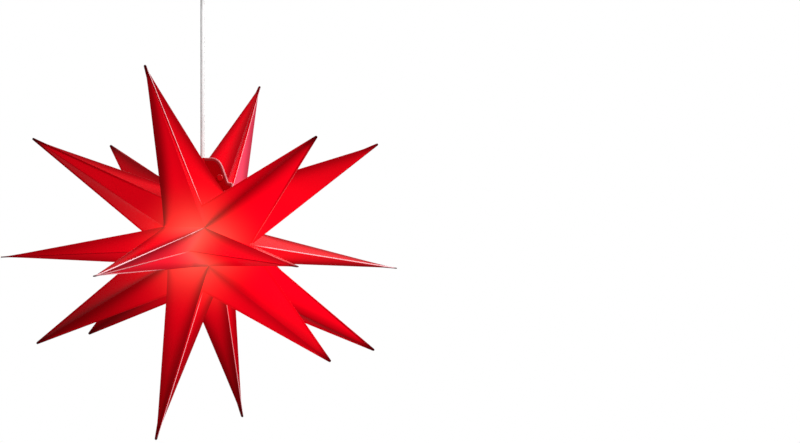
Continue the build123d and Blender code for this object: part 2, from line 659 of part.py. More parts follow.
def main():
    """Build every node and write it."""
    os.makedirs("parts", exist_ok=True)
    for number in range(1, 13):
        save("leaf_%02d" % number, leaf(number))
    for build in (flap_front, flap_back, stud_caps, stud_sockets, ceiling_bar, canopy_cup, lock_nuts,
                  threaded_tube, cord_grip, grip_screw, terminal_block, terminal_screws, cord_upper,
                  upper_cores, cord_bend, cord, cord_clamp, clamp_screw, holder_cap, holder_skirt,
                  contact_carrier, screw_shell, centre_contact, holder_cores, lamp_globe, lamp_housing,
                  lamp_base, lamp_eyelet):
        save(build.__name__, build())
    print("flap hinge y %.3f z %.3f, leaf rises at %.1f degrees" % (*hinge_line(), degrees(LEAF_RISE)))
    print("swing at %.1f and %.1f, clamp top %.1f" % (SWING_Z, SWING_LOW_Z, CLAMP_TOP_Z))
    print("globe from %.1f to %.1f" % (GLOBE_Z - GLOBE_R, HOUSING_LOW_Z))


main()
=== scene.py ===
"""Moravian star pendant: the red folding star, its cord and its fitting, dressed for the render.

The star is a stack of twelve creased leaves of translucent sheet, welded edge to edge.  Places
on it are (x, rho, azimuth): x along the level axis that it unfolds round, rho the distance from
that axis, azimuth 0 straight up and 90 to the front.  Sizes are in millimetres until a mesh is
made, and azimuths in degrees.
"""
from collections import namedtuple

import bmesh
import bpy
import numpy as np
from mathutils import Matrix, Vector


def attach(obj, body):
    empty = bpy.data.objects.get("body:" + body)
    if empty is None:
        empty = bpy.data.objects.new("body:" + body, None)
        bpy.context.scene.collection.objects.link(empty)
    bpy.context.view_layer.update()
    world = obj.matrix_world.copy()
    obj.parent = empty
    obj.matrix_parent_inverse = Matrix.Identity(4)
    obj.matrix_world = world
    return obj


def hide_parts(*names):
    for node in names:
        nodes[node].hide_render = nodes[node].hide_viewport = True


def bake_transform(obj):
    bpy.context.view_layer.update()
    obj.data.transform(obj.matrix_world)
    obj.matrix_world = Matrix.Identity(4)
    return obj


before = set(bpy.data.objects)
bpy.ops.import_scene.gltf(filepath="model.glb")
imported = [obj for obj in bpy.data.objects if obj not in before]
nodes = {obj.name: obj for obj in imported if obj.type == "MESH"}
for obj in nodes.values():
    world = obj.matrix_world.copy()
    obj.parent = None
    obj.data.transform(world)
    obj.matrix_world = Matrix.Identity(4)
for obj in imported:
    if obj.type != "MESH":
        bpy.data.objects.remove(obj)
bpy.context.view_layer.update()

MM = 0.001

# ---- the star, with the sizes of the solids ---------------------------------------------------
DROP = 412.0                    # ceiling to the star's middle
TILT = np.radians(1.33)         # the star hangs lower at +X
LEAVES, GORES = 12, 6
MIDDLE_REACH = 285.0
SIDE_REACH = 277.0
SIDE_ANGLE = 53.1
OPENINGS = np.array([72.1, 62.1, 57.1, 52.7, 51.7, 64.3])   # degrees between gores, seam first
EVEN_OPENING = 60.0
SIDE_DRAW = 0.28
NOTCH_X, NOTCH_RADIUS, NOTCH_DRAW = 16.8, 66.0, 0.57
VALLEY_X, VALLEY_RADIUS, VALLEY_RISE = 31.5, 54.4, 1.45
POLE_X = 72.3
SHEET = 0.6
WELD, WELD_BITE, WELD_STOP = 1.8, 1.0, 5.0
SLEEVE_HOLE_R = 4.25            # round the sleeve that passes the seam
FLAP_FOOT_Z, FLAP_TOP = 73.4, 118.0     # the flaps' outline over the star's middle
FLAP_FOOT, FLAP_HEAD, FLAP_CORNER = 42.0, 23.6, 19.0
EAR, EAR_TOP = 45.0, 84.0
FLAP_FACE = 0.95                # outer face of a flap from the plane between them

# ---- cord and lamp ----------------------------------------------------------------------------
CORD_R = 2.85
CORD_TOP, CORD_LOW = -60.4, -354.3      # mouth of the grip, and inside the lampholder's cap
CORD_STOPS = 9                  # points of the cord's spline
CORD_SIDES, DOME_RINGS = 32, 6
LAMP_CENTRE = np.array([0.0, 0.0, -425.4])

# ---- meshes -----------------------------------------------------------------------------------
SHARP, LEAF_SHARP = 30.0, 38.0  # edges bent by more degrees than this stay sharp
MERGE, SLIVER = 0.01, 0.005     # points closer than one merge, and faces thinner than the other go
COLUMNS, ROWS = 26, 36          # along each stretch of a crest, and from crest to valley
ROW_CROWD = 0.055               # how far the rows crowd towards crest and valley
HOLE_COLUMNS, HOLE_SPREAD = 41, 1.6     # more columns by the sleeve's hole, out to so many radii
PLANE_GAP, FIN_GAP = 0.01, 0.02         # a wall's inside and a fin from the plane they meet at
ARC_STEPS = 9                   # points of a fin's path at a corner
FIN_STEPS = np.array([0.02, 0.05, 0.12, 0.3, 0.5, 0.7, 0.88, 0.95])     # shares of a fin's stretch

# ---- soft shapes of the sheet -----------------------------------------------------------------
CREASE_R = 10.0                 # half width over which a pressed crease turns
WINDOW = np.linspace(-0.875, 0.875, 8)  # where that turn is sampled, in half widths
OPEN_BY, CLOSE_BY = 0.14, 0.08  # shares of the way to the valley over which it opens and closes
SPREAD_MOST = 5.0
SAG = 0.9                       # how far a panel bows in at its middle

# ---- the sheet's colour and light, as marks on the leaves -------------------------------------
CREASES = ((1, 1), (3, 1), (3, 2), (5, 2))      # tip and foot, corners of the crest and the valley
BAND_W, BAND_LEAST = 12.0, 0.3  # half width of the painted shade along a crease, halfway and at least
# Leaf, tip, foot: how deep the painted shade along these creases is, next to the others' 1.
FAINT = {(2, 3, 2): 0.0, (2, 1, 1): 0.1, (3, 1, 1): 0.6, (4, 1, 1): 0.6, (4, 5, 2): 0.6,
         (5, 3, 1): 0.7, (5, 5, 2): 0.6}
# Leaves with a painted shaded strip by the middle tip's first crease, its depth, how far it bows
# in.
STRIPED, STRIPE_DEPTH, STRIPE_BOW = {2}, 1.2, 5.0
# Leaf: tip, foot, paleness and length of the painted highlight along one of its creases.
HIGHLIT_CREASES = {3: (3, 2, 1.0, 1.0), 4: (3, 2, 0.5, 0.6)}
# Half width, soft edge and fade of that painted highlight.
HIGHLIGHT_W, HIGHLIGHT_EDGE, HIGHLIGHT_FADE = 1.6, 0.8, 0.12
# Gore: stretch of its crest: how pale the painted highlight along its weld is.
WELD_HIGHLIGHTS = {0: {3: 0.6, 5: 0.3}, 1: {3: 0.35}, 2: {3: 0.9}, 3: {3: 0.9}, 4: {5: 0.8},
              5: {3: 0.7}}
HIGHLIGHT_BY_TIP, HIGHLIGHT_BY_FOOT = 0.03, 0.12  # shares of a stretch over which that fades
TIP_R = 24.0                    # how far the painted shade of a tip reaches
LAMP_GLOW, LAMP_FADE = 1.31, 80.0       # glow at the lamp, and the distance over which it dies off
SIDE_GLOW, SIDE_FADE = 1.2, 100.0       # the same, for the right-hand spikes
SIDE_PLACE = np.array([180.0, -18.0, 0.0])  # from the lamp to the middle of those spikes
LAMP_WARMTH, LAMP_WARM_R = 1.2, 45.0
HOT_WARM_R = 42.0
HOT_PLACE = np.array([21.0, -49.0, 16.0])   # from the lamp to the hottest place on the sheet
FIN_SHARE = 0.8                 # of the glow and warmth at its place, on a fin
# Light that a panel lets through beyond what its place gives: leaf, then stretch of its crest
# (0 to 2 up, 3 the middle panel, 4 to 6 down).
PANEL_LIGHT = {1: {1: 0.05, 4: 0.08},
               2: {0: 0.12, 1: 0.04, 3: 0.36, 4: 0.06, 6: 0.26},
               3: {3: 0.26, 4: 0.10, 5: 0.42},
               4: {1: 0.18, 4: 0.36, 5: 0.30},
               5: {3: -0.06, 5: 0.10, 6: 0.06},
               6: {4: 0.24},
               7: {6: 0.42},
               8: {4: 0.50},
               11: {4: 0.46},
               12: {0: 0.12, 3: 0.32, 4: 0.10, 6: -0.10}}
PANEL_REACH, PANEL_MOST = 170.0, 1.4    # the distance from the lamp at which it counts in full
PANEL_SHEEN = {3: {4: 0.12}, 4: {4: 0.14}, 11: {4: 0.8}}    # painted pink sheen, same keys
PANEL_RAMP = 20.0               # width over which one panel's level turns into the next

# ---- the sheet's own colours, and those of its painted shade and highlights -------------------
SHEET_RED, SHEET_CLOUD = (0.40, 0.0006, 0.004, 1), (0.37, 0.0004, 0.003, 1)
# Colours of the painted shade along creases and at tips, of the darker welds, and of a painted
# highlight.
CREASE_SHADE_RED, WELD_RED = (0.06, 0.0, 0.001, 1), (0.12, 0.0, 0.002, 1)
TIP_SHADE_RED, HIGHLIGHT_PINK = (0.010, 0.0, 0.001, 1), (0.80, 0.50, 0.53, 1)
CREASE_SHADE_DEEP, WELD_DEEP, TIP_SHADE_DEEP = 0.6, 0.6, 0.9    # shares of those where a mark is 1

# ---- moulded and pressed finishes -------------------------------------------------------------
NOISE_LOW, NOISE_HIGH = 0.3, 0.7        # the middle of the noise that a cloud is stretched from
CLOUD_SCALE, CLOUD_DARK = 35.0, 0.08    # clouds to a metre, and how much darker they are
SMEAR_SCALE = 90.0                      # the same for the roughness,
SMEAR_LESS, SMEAR_MORE = 0.04, 0.06     # and how far it strays down and up
GRAIN_SCALE, GRAIN_SHARE, GRAIN_DEPTH = 400.0, 0.12, 0.0002     # the fine relief, in metres

# ---- the flaps' hems: corners across the strip, their height and painted highlight ------------
HEM_ACROSS = np.array([-0.35, -0.35, 0.0, 0.7, 2.6, 3.2, 3.4, 0.0])
HEM_PROUD = np.array([-0.60, 0.10, 0.42, 0.50, 0.42, 0.20, -0.10, -0.60])
HEM_HIGHLIGHT = np.array([0.3, 0.5, 0.4, 0.05, 0.0, 0.10, 0.0, 0.0])
HEM_CAP = np.array([[0, 1, 2, 7], [2, 3, 6, 7], [3, 4, 5, 6]])
HEM_STEPS, HEM_ARC = 4, 17      # points of each straight run, and of the round corner
EAR_CUT, EAR_STEP = 2.0, 1.0    # an ear's cut corner, and its step up to the flap's side

# ---- camera and studio ------------------------------------------------------------------------
LENS, SENSOR = 75.7, 36.0
SHIFT_X, SHIFT_Y = 0.2469, 0.0276
CAMERA_FROM = Vector((0.4721, -0.8815, 0.0))    # from the star to the camera
CAMERA_AWAY = 2.3188            # metres
AMBIENT = 0.30                  # what the surroundings add to matt surfaces
GLOSS = 1.0                     # what they add to gloss: the white that the camera sees
# Name, azimuth, elevation, distance in metres, size in metres, watts.
LAMPS = (("key", 65, 5, 0.85, 0.4, 1.5),
         ("top", 65, 50, 1.2, 0.5, 14.0),
         ("rim", 124, 26, 1.5, 0.8, 2.5))
FLOOR_HALF, FLOOR_Z = 12.0, -4.0        # metres
FLOOR_WHITE = 0.96              # how much of the floor's own shading the camera sees as white


# ---- surfaces ---------------------------------------------------------------------------------
def hung(x, y, up):
    """Places round the level star's middle to the hanging frame: tilted by TILT round the level
    front-back line, and lowered by DROP."""
    return np.stack([x * np.cos(TILT) + up * np.sin(TILT), y,
                     up * np.cos(TILT) - x * np.sin(TILT) - DROP], -1)


def place(x, rho, azimuth):
    """Star place to the hanging frame, turned to its azimuth round the axis."""
    x, rho, angle = np.broadcast_arrays(x, rho, np.radians(azimuth))
    return hung(x, -rho * np.sin(angle), rho * np.cos(angle))


CENTRE = place(0.0, 0.0, 0.0)


def unit(vectors):
    """Each vector over its own length."""
    return vectors / np.maximum(np.linalg.norm(vectors, axis=-1, keepdims=True), 1e-9)


def along(knots, corners, t):
    """A polyline's point at t: straight between the corners at the two knots around t."""
    return np.stack([np.interp(t, knots, corners[:, k]) for k in range(corners.shape[1])], -1)


def grid_faces(rows, columns, ring=False):
    """Four-cornered faces of a rows x columns grid, joined round its columns for a ring."""
    index = np.arange(rows * columns).reshape(rows, columns)
    right = np.roll(index, -1, axis=1) if ring else index[:, 1:]
    left = index if ring else index[:, :-1]
    return np.stack([left[:-1], right[:-1], right[1:], left[1:]], -1).reshape(-1, 4)


def mesh_of(name, points, faces, sharp=SHARP, marks=None):
    """A mesh from points in millimetres and four-cornered faces, doubles merged and slivers
    dropped, smooth but for edges bent by more than sharp degrees, with its marks per point."""
    mesh = bpy.data.meshes.new(name)
    mesh.from_pydata((points * MM).tolist(), [], faces.tolist())
    for mark, values in (marks or {}).items():
        layer = mesh.attributes.new(mark, "FLOAT", "POINT")
        layer.data.foreach_set("value", np.ascontiguousarray(values, dtype=np.float32))
    tidy_mesh(mesh)
    mesh.shade_smooth()
    mesh.set_sharp_from_angle(angle=np.radians(sharp))
    return mesh


def tidy_mesh(mesh):
    """Merges points that are closer than MERGE, drops faces thinner than SLIVER, and turns the
    rest outwards."""
    bm = bmesh.new()
    bm.from_mesh(mesh)
    bmesh.ops.remove_doubles(bm, verts=bm.verts, dist=MERGE * MM)
    bmesh.ops.dissolve_degenerate(bm, edges=bm.edges, dist=SLIVER * MM)
    bmesh.ops.recalc_face_normals(bm, faces=bm.faces)
    bm.to_mesh(mesh)
    bm.free()


def linked(name, data):
    """A new object in the scene."""
    made = bpy.data.objects.new(name, data)
    bpy.context.scene.collection.objects.link(made)
    return made


def piece(name, mesh, body, slot, *replaced):
    """A mesh's object, riding on its body, with the nodes that it stands for hidden; its finish's
    slot is not used.
    """
    made = linked(name, mesh)
    if body:
        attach(made, body)
    if replaced:
        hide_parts(*replaced)
    return made


# ---- the folded star --------------------------------------------------------------------------
GORE_AZIMUTHS = OPENINGS[0] / 2 + np.concatenate([[0.0], np.cumsum(OPENINGS[1:])])

# A leaf's crest and valley: their azimuths, their corners as (x, rho) lines and as places in the
# hanging frame, and whether the valley is the seam.
Edges = namedtuple("Edges", "crest_azimuth valley_azimuth crest_line valley_line crest valley seam")


def crest_corners(gore):
    """(x, rho) of a gore's crest: pole, side tip, notch, middle tip, and back down.  For each
    degree that the gore opens wider than even, its side spikes draw in by SIDE_DRAW degrees and
    its notches by NOTCH_DRAW."""
    wider = (OPENINGS[gore] + OPENINGS[(gore + 1) % GORES]) / 2 - EVEN_OPENING
    angle = np.radians(SIDE_ANGLE - SIDE_DRAW * wider)
    reach = SIDE_REACH - WELD
    half = np.array([[POLE_X, 0.0], [reach * np.sin(angle), reach * np.cos(angle)],
                     [NOTCH_X, NOTCH_RADIUS - NOTCH_DRAW * wider]])
    middle = np.array([[0.0, MIDDLE_REACH - WELD]])
    return np.concatenate([half * [-1, 1], middle, half[::-1]])


def valley_corners(valley):
    """(x, rho) of the valley before gore number valley: pole, corner, corner, pole."""
    rho = VALLEY_RADIUS + VALLEY_RISE * (OPENINGS[valley] - EVEN_OPENING)
    return np.array([[-POLE_X, 0.0], [-VALLEY_X, rho], [VALLEY_X, rho], [POLE_X, 0.0]])


def leaf_edges(number):
    """A leaf's Edges: an odd leaf is the first half of its gore, an even one the second."""
    gore = (number - 1) // 2
    first_half = number % 2 == 1
    valley = gore if first_half else (gore + 1) % GORES
    crest_azimuth = GORE_AZIMUTHS[gore]
    turn = OPENINGS[valley] / 2
    valley_azimuth = crest_azimuth - turn if first_half else crest_azimuth + turn
    crest_line, valley_line = crest_corners(gore), valley_corners(valley)
    return Edges(crest_azimuth, valley_azimuth, crest_line, valley_line,
                 place(crest_line[:, 0], crest_line[:, 1], crest_azimuth),
                 place(valley_line[:, 0], valley_line[:, 1], valley_azimuth), valley == 0)


def ruling_ends(edges):
    """Where each knot's ruling starts and ends: the crest walks pole, side tip, notch, middle tip
    while the valley waits at its corner, the valley walks to its other corner, and the crest
    walks on."""
    crest = np.concatenate([edges.crest[:4], edges.crest[3:]])
    valley = np.concatenate([np.repeat(edges.valley[1:2], 4, 0),
                             np.repeat(edges.valley[2:3], 4, 0)])
    return crest, valley


def crowded(stops, count):
    """Stations from stop to stop, crowded towards each stop as the cosine of an even turn."""
    step = (1 - np.cos(np.linspace(0, np.pi, count + 1))) / 2
    runs = [a + (b - a) * step[:-1] for a, b in zip(stops[:-1], stops[1:])]
    return np.concatenate(runs + [stops[-1:]])


def spread(w):
    """How much of u a real length takes up at w, where the rulings have drawn together: one over
    1 - w, up to SPREAD_MOST."""
    return 1 / np.maximum(1 - w, 1 / SPREAD_MOST)


def leaf_surface(edges, u, w, knots):
    """Ruled sheet between crest and valley, P(u, w) = (1 - w) crest(u) + w valley(u).

    Each point is the mean of the sheet over a window in u, weighted as a triangle, whose half
    width is CREASE_R of real length at that row.  So the panels turn into each other over a soft
    crease, and the window closes at the crest, at the valley and at both ends, which keep their
    lines.
    """
    crest, valley = ruling_ends(edges)
    near_crest = np.clip(w / OPEN_BY, 0, 1)
    near_valley = np.clip((1 - w) / CLOSE_BY, 0, 1)
    half = CREASE_R * spread(w) * near_crest ** 2 * (3 - 2 * near_crest) * near_valley
    half = np.minimum(half, np.minimum(u, knots[-1] - u))
    total, weights = 0, 0
    for shift in WINDOW:
        weight = 1 - abs(shift)
        at = u + half * shift
        ruled = (along(knots, crest, at) * (1 - w)[..., None]
                 + along(knots, valley, at) * w[..., None])
        total = total + weight * ruled
        weights += weight
    return total / weights


def grid_normals(points):
    """Unit normals of a grid, the cross product of its two slopes, turned away from the star's
    middle.  Where a row shrinks to a point its neighbour's normal is taken."""
    cross = np.cross(np.gradient(points, axis=1), np.gradient(points, axis=0))
    size = np.linalg.norm(cross, axis=-1)
    for row, inner in ((0, 1), (-1, -2)):
        weak = size[row] < 1e-4
        cross[row][weak] = cross[inner][weak]
    normals = unit(cross)
    if np.sum(normals * (points - CENTRE)) < 0:
        normals = -normals
    return normals


def radial_normal(azimuth):
    """Unit normal of the plane through the star's axis at an azimuth."""
    return unit(place(0.0, 1.0, azimuth + 90.0) - CENTRE)


def leaf_side(azimuth, other):
    """+1 where the normal of the radial plane at an azimuth points to the leaf's other edge, and
    -1 where it points away."""
    return 1 if (place(0.0, 1.0, other) - CENTRE) @ radial_normal(azimuth) > 0 else -1


def leaf_grid(edges):
    """Outer grid of a leaf and its stations: u along the crest in millimetres, w from 0 at the
    crest to 1 at the valley, its rows closer near both."""
    runs = np.linalg.norm(np.diff(edges.crest, axis=0), axis=1)
    runs = np.insert(runs, 3, np.linalg.norm(edges.valley[2] - edges.valley[1]))
    knots = np.concatenate([[0.0], np.cumsum(runs)])
    stations = crowded(knots, COLUMNS)
    if edges.seam:
        middle = (knots[3] + knots[4]) / 2
        turn = np.linspace(-np.pi / 2, np.pi / 2, HOLE_COLUMNS)
        hole = middle + SLEEVE_HOLE_R * HOLE_SPREAD * np.sin(turn)
        stations = np.unique(np.concatenate([stations, hole]).round(4))
    rows = np.linspace(0, 1, ROWS + 1)
    rows = rows - ROW_CROWD * np.sin(2 * np.pi * rows)
    w, u = np.meshgrid(rows, stations, indexing="ij")
    if edges.seam:
        w = w * hole_share(edges, knots, stations)
    return leaf_surface(edges, u, w, knots), u, w, knots


def hole_share(edges, knots, stations):
    """How much of each ruling the sleeve's hole leaves: the ruling from the middle tip stops
    where its level distance from the cord's line is the hole's radius."""
    tip = edges.crest[3]
    run = (along(knots, ruling_ends(edges)[1], stations) - tip)[:, :2]
    a = np.sum(run * run, 1)
    b = 2 * np.sum(run * tip[:2], 1)
    c = np.sum(tip[:2] ** 2) - SLEEVE_HOLE_R ** 2
    root = b * b - 4 * a * c
    stop = (-b - np.sqrt(np.maximum(root, 0))) / (2 * a)
    on_panel = (stations > knots[3]) & (stations < knots[4]) & (root > 0)
    return np.where(on_panel, np.clip(stop, 0, 1), 1.0)


def bowed(points, u, w, knots, normals):
    """Each panel sags inward by SAG, as the squared sine across it times four w (1 - w) down it."""
    run = np.clip(np.searchsorted(knots, u, side="right") - 1, 0, len(knots) - 2)
    across = (u - knots[run]) / (knots[run + 1] - knots[run])
    sag = SAG * np.sin(np.pi * np.clip(across, 0, 1)) ** 2 * 4 * w * (1 - w)
    return points - normals * sag[..., None]


def inner_wall(points, normals, edges):
    """The sheet's inside face, SHEET deeper, and kept on the leaf's own side of the two radial
    planes that it shares with its neighbours."""
    inner = points - normals * SHEET
    ends = (edges.crest_azimuth, edges.valley_azimuth)
    for azimuth, other in (ends, ends[::-1]):
        n = radial_normal(azimuth) * leaf_side(azimuth, other)
        short = np.minimum((inner - CENTRE) @ n - PLANE_GAP, 0)
        inner = inner - short[..., None] * n
    return inner


# ---- marks for colour and light ---------------------------------------------------------------
def away_from(points, spot):
    """Distance of each point from a spot."""
    return np.linalg.norm(points - spot, axis=-1)


def glow_at(points):
    """Lamp light that comes through the sheet: it dies off as a power of e with the distance
    from the lamp, and a second, gentler share is painted light that brightens the right-hand
    spikes."""
    near = away_from(points, LAMP_CENTRE)
    side = away_from(points, LAMP_CENTRE + SIDE_PLACE)
    return LAMP_GLOW * np.exp(-near / LAMP_FADE) + SIDE_GLOW * np.exp(-side / SIDE_FADE)


def warmth_at(points):
    """How hot the sheet looks: a bell of the distance from the lamp, and one of the distance
    from the sheet's hottest place."""
    near = away_from(points, LAMP_CENTRE)
    front = away_from(points, LAMP_CENTRE + HOT_PLACE)
    return (LAMP_WARMTH * np.exp(-(near / LAMP_WARM_R) ** 2)
            + np.exp(-(front / HOT_WARM_R) ** 2))


def per_panel(table, number, u, w, knots):
    """A leaf's panel levels from a table, one turned into the next as a straight ramp over each
    crease, PANEL_RAMP wide."""
    own = table.get(number, {})
    levels = np.array([own.get(stretch, 0.0) for stretch in range(len(knots) - 1)])
    width = PANEL_RAMP * spread(w)
    value = np.full(u.shape, levels[0])
    for knot, step in zip(knots[1:-1], np.diff(levels)):
        value = value + step * np.clip((u - knot) / width + 0.5, 0, 1)
    return value


def panel_light(number, points, u, w, knots):
    """Each panel's own light, in step with the distance from the lamp over PANEL_REACH."""
    reach = np.clip(away_from(points, LAMP_CENTRE) / PANEL_REACH, 0, PANEL_MOST)
    return per_panel(PANEL_LIGHT, number, u, w, knots) * reach


def from_crease(points, start, end):
    """Distance in millimetres from a straight crease, and the share of it that is passed: what is
    left of the ray from its start once the ray's own share along the crease is taken off."""
    line = end - start
    share = np.clip((points - start) @ line / (line @ line), 0, 1)
    return np.linalg.norm(points - start - share[..., None] * line, axis=-1), share


def crease_shade(points, number, edges):
    """Painted shade along the creases from tips to the valley: a bell of the distance over the
    half width, which is BAND_W halfway down the crease and shrinks to its ends as the root of
    4 s (1 - s).  On STRIPED leaves the shade on the middle panel is deeper still beside its first
    crease, over a strip that bows in by STRIPE_BOW times 4 s (1 - s)."""
    band = np.zeros(points.shape[:-1])
    inward = unit(edges.valley[2] - edges.valley[1])
    for tip, foot in CREASES:
        start, end = edges.crest[tip], edges.valley[foot]
        away, share = from_crease(points, start, end)
        depth = FAINT.get((number, tip, foot), 1.0)
        if (tip, foot) == (3, 1) and number in STRIPED:
            across = (points - start) @ inward - share * ((end - start) @ inward)
            strip = np.maximum(across - STRIPE_BOW * 4 * share * (1 - share), 0)
            away = np.where(across > 0, strip, away)
            depth = STRIPE_DEPTH
        width = np.maximum(BAND_W * np.sqrt(4 * share * (1 - share)), BAND_LEAST)
        band = np.maximum(band, depth * np.exp(-(away / width) ** 2))
    return band


def crease_highlight(points, number, edges):
    """Painted highlight along the one crease of a leaf that has one, as wide each way as its half
    width, and gone where its length ends."""
    if number not in HIGHLIT_CREASES:
        return np.zeros(points.shape[:-1])
    tip, foot, highlight_share, length = HIGHLIT_CREASES[number]
    away, share = from_crease(points, edges.crest[tip], edges.valley[foot])
    fade = np.clip((length - share) / HIGHLIGHT_FADE, 0, 1)
    return highlight_share * fade * np.clip((HIGHLIGHT_W - away) / HIGHLIGHT_EDGE, 0, 1)


def tip_mark(points, tips):
    """Closeness to the nearest tip, where shade is painted: 1 at the tip, straight down to 0 at
    TIP_R.
    """
    away = np.min(np.linalg.norm(points[..., None, :] - tips, axis=-1), -1)
    return np.clip(1 - away / TIP_R, 0, 1)


# ---- leaves -----------------------------------------------------------------------------------
def lipped_band(outer, inner, plane_normal):
    """A flat band between two paths of equal count, as a closed ring of six corners carried along
    the path: its outer edge stands as a rounded lip between FIN_GAP and SHEET along the plane's
    normal.  With it goes how near each corner is to the lip."""
    outward = unit(outer - inner)
    thick = SHEET - FIN_GAP
    ring = [inner + plane_normal * FIN_GAP, outer + plane_normal * FIN_GAP,
            outer - outward * thick * 0.12 + plane_normal * (FIN_GAP + thick * 0.75),
            outer - outward * thick * 0.45 + plane_normal * SHEET,
            outer - outward * thick * 0.7 + plane_normal * SHEET,
            inner + plane_normal * SHEET]
    lip = np.tile(np.array([0.0, 1.0, 1.0, 0.9, 0.0, 0.0]), len(outer))
    cap = np.array([[0, 1, 2, 5], [2, 3, 4, 5]])
    faces = [grid_faces(len(outer), len(ring), ring=True), cap, cap + (len(outer) - 1) * len(ring)]
    return np.stack(ring, 1), np.concatenate(faces), lip


def offset_path(corners, distance):
    """A path beside a flat polyline of (x, rho) corners, distance to its left, that stops
    WELD_STOP short of both ends.  A corner that the path goes round outside becomes an arc, an
    inside one its mitre."""
    path = []
    for before, here, after in zip(corners[:-2], corners[1:-1], corners[2:]):
        d0, d1 = unit(here - before), unit(after - here)
        n0, n1 = np.array([-d0[1], d0[0]]), np.array([-d1[1], d1[0]])
        turning = d0[0] * d1[1] - d0[1] * d1[0]
        if turning * distance < 0:
            a0, a1 = np.arctan2(n0[1], n0[0]), np.arctan2(n1[1], n1[0])
            sweep = (a1 - a0 + np.pi) % (2 * np.pi) - np.pi
            angles = a0 + sweep * np.linspace(0, 1, ARC_STEPS)
            path.append(here + distance * np.stack([np.cos(angles), np.sin(angles)], -1))
        else:
            mitre = (n0 + n1) / (1 + np.dot(n0, n1))
            path.append(np.repeat((here + distance * mitre)[None], ARC_STEPS, 0))
    d0, d1 = unit(corners[1] - corners[0]), unit(corners[-1] - corners[-2])
    first = corners[0] + distance * np.array([-d0[1], d0[0]]) + d0 * WELD_STOP
    last = corners[-1] + distance * np.array([-d1[1], d1[0]]) - d1 * WELD_STOP
    return np.concatenate([[first], *path, [last]])


def fin(corners, azimuth, side, outside, inside, pale):
    """Half of a weld: points, faces and marks.  It is SHEET thick on the leaf's side of its radial
    plane, between two paths beside the crest or valley.  Its painted highlight is that of its
    stretch, faded at both ends, more slowly at the end away from a tip."""
    outer, inner = offset_path(corners, outside), offset_path(corners, inside)
    knots = np.arange(len(outer))
    steps = knots[:-1, None] + FIN_STEPS
    stations = np.unique(np.concatenate([steps, knots[1:, None]], axis=None))
    outer, inner = along(knots, outer, stations), along(knots, inner, stations)
    highlight_share = np.zeros(len(stations))
    for stretch, strength in pale.items():
        t = stations - ARC_STEPS * stretch
        from_tip, to_foot = (t, 1 - t) if stretch % 2 else (1 - t, t)
        fade = np.minimum(from_tip / HIGHLIGHT_BY_TIP, to_foot / HIGHLIGHT_BY_FOOT)
        highlight_share = highlight_share + strength * np.clip(fade, 0, 1)
    points, faces, lip = lipped_band(place(outer[:, 0], outer[:, 1], azimuth),
                                     place(inner[:, 0], inner[:, 1], azimuth),
                                     radial_normal(azimuth) * side)
    highlight_share = np.repeat(highlight_share, points.shape[1]) * lip
    points = points.reshape(-1, 3)
    none = np.zeros(len(points))
    return points, faces, {"glow": FIN_SHARE * glow_at(points),
                           "warmth": FIN_SHARE * warmth_at(points),
                           "band": none, "weld": lip, "pale": highlight_share, "painted_sheen": none}


def creased_wall(number, edges):
    """A leaf's wall: points, faces and marks of its outer and inner grid and the rim between."""
    points, u, w, knots = leaf_grid(edges)
    normals = grid_normals(points)
    points = bowed(points, u, w, knots, normals)
    inner = inner_wall(points, normals, edges)
    faces = grid_faces(*w.shape)
    index = np.arange(w.size).reshape(w.shape)
    border = np.concatenate([index[0], index[1:, -1], index[-1, -2::-1], index[-2:0:-1, 0]])
    following = np.roll(border, -1)
    rim = np.stack([border, following, following + w.size, border + w.size], -1)
    marks = {"glow": glow_at(points) + panel_light(number, points, u, w, knots),
             "warmth": warmth_at(points),
             "band": crease_shade(points, number, edges),
             "weld": np.zeros(w.shape),
             "pale": crease_highlight(points, number, edges),
             "painted_sheen": per_panel(PANEL_SHEEN, number, u, w, knots)}
    return (np.concatenate([points.reshape(-1, 3), inner.reshape(-1, 3)]),
            np.concatenate([faces, faces[:, ::-1] + w.size, rim]),
            {mark: np.tile(values.ravel(), 2) for mark, values in marks.items()})


def leaf(number):
    """One leaf's mesh: its wall, and half of the weld at its crest and, but for the seam, at its
    valley."""
    edges = leaf_edges(number)
    crest_side = leaf_side(edges.crest_azimuth, edges.valley_azimuth)
    valley_side = leaf_side(edges.valley_azimuth, edges.crest_azimuth)
    parts = [creased_wall(number, edges),
             fin(edges.crest_line, edges.crest_azimuth, crest_side, WELD, -WELD_BITE,
                 WELD_HIGHLIGHTS[(number - 1) // 2])]
    if not edges.seam:
        parts.append(fin(edges.valley_line, edges.valley_azimuth, valley_side,
                         -WELD_BITE - WELD, 0.0, {}))
    starts = np.cumsum([0] + [len(points) for points, _, _ in parts])
    points = np.concatenate([points for points, _, _ in parts])
    faces = np.concatenate([faces + start for (_, faces, _), start in zip(parts, starts)])
    marks = {mark: np.concatenate([own[mark] for _, _, own in parts]) for mark in parts[0][2]}
    marks["tip"] = tip_mark(points, edges.crest[[1, 3, 5]])
    return mesh_of("leaf_%02d_sheet" % number, points, faces, LEAF_SHARP, marks)


